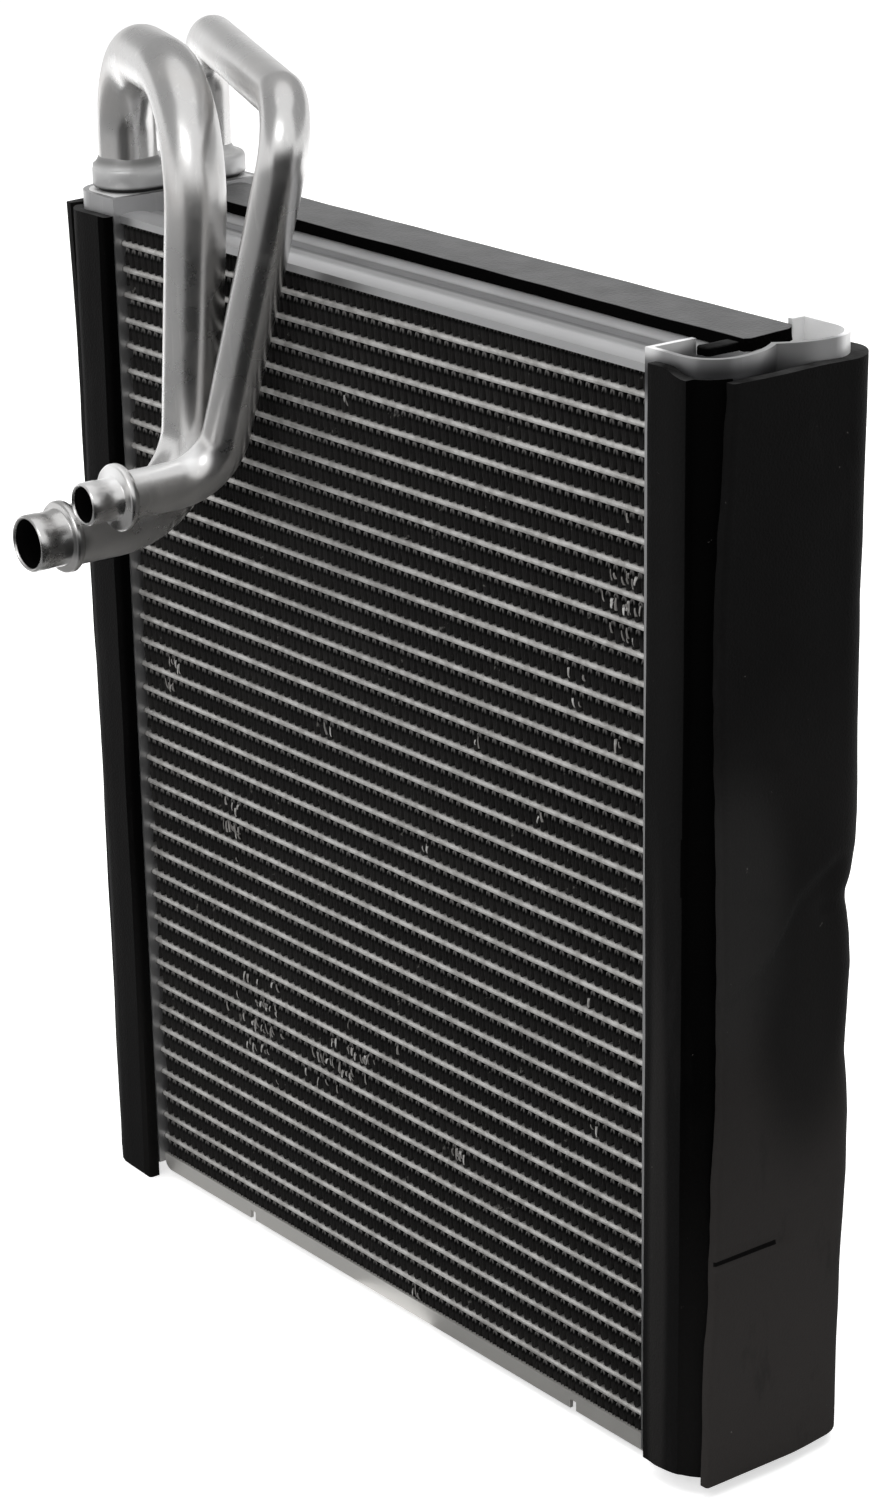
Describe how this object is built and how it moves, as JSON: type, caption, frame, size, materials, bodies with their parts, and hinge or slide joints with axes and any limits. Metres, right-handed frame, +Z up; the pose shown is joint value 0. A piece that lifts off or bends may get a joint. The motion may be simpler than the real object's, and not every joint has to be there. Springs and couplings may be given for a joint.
{
  "type": "air conditioning evaporator core",
  "caption": "Upright finned heat exchanger core with a tank at each side, two bent pipes from a port block on one tank and foam pads round its outside.",
  "frame": {"origin": "middle of the flat seat face under the bottom side plate", "axes": "+X along the flat tubes from the piped tank to the other, +Y from the front face to the back, +Z up"},
  "size_m": [0.272, 0.1145, 0.3377],
  "materials": {
    "tube_aluminium": "dull brazed",
    "fin_aluminium": "dark coated",
    "plate_aluminium": "dull brazed",
    "tank_aluminium": "dull brazed",
    "block_aluminium": "machined and brazed",
    "pipe_aluminium": "bright drawn",
    "foam": "matte cellular foam"
  },
  "bodies": {
    "root": {"upper_flat_tubes": "tube_aluminium", "middle_flat_tubes": "tube_aluminium", "lower_flat_tubes": "tube_aluminium", "top_fin_rows": "fin_aluminium", "upper_fin_rows": "fin_aluminium", "lower_fin_rows": "fin_aluminium", "bottom_fin_rows": "fin_aluminium", "top_side_plate": "plate_aluminium", "bottom_side_plate": "plate_aluminium", "left_header_plate": "tank_aluminium", "right_header_plate": "tank_aluminium", "left_tank_shell": "tank_aluminium", "right_tank_shell": "tank_aluminium", "left_tank_divider": "tank_aluminium", "right_tank_divider": "tank_aluminium", "left_top_end_cap": "tank_aluminium", "left_bottom_end_cap": "tank_aluminium", "right_top_end_cap": "tank_aluminium", "right_bottom_end_cap": "tank_aluminium", "port_block": "block_aluminium", "suction_pipe": "pipe_aluminium", "liquid_pipe": "pipe_aluminium", "left_front_foam": "foam", "right_front_foam": "foam", "left_side_foam": "foam", "right_side_foam": "foam", "top_foam_strip": "foam"}
  },
  "joints": []
}
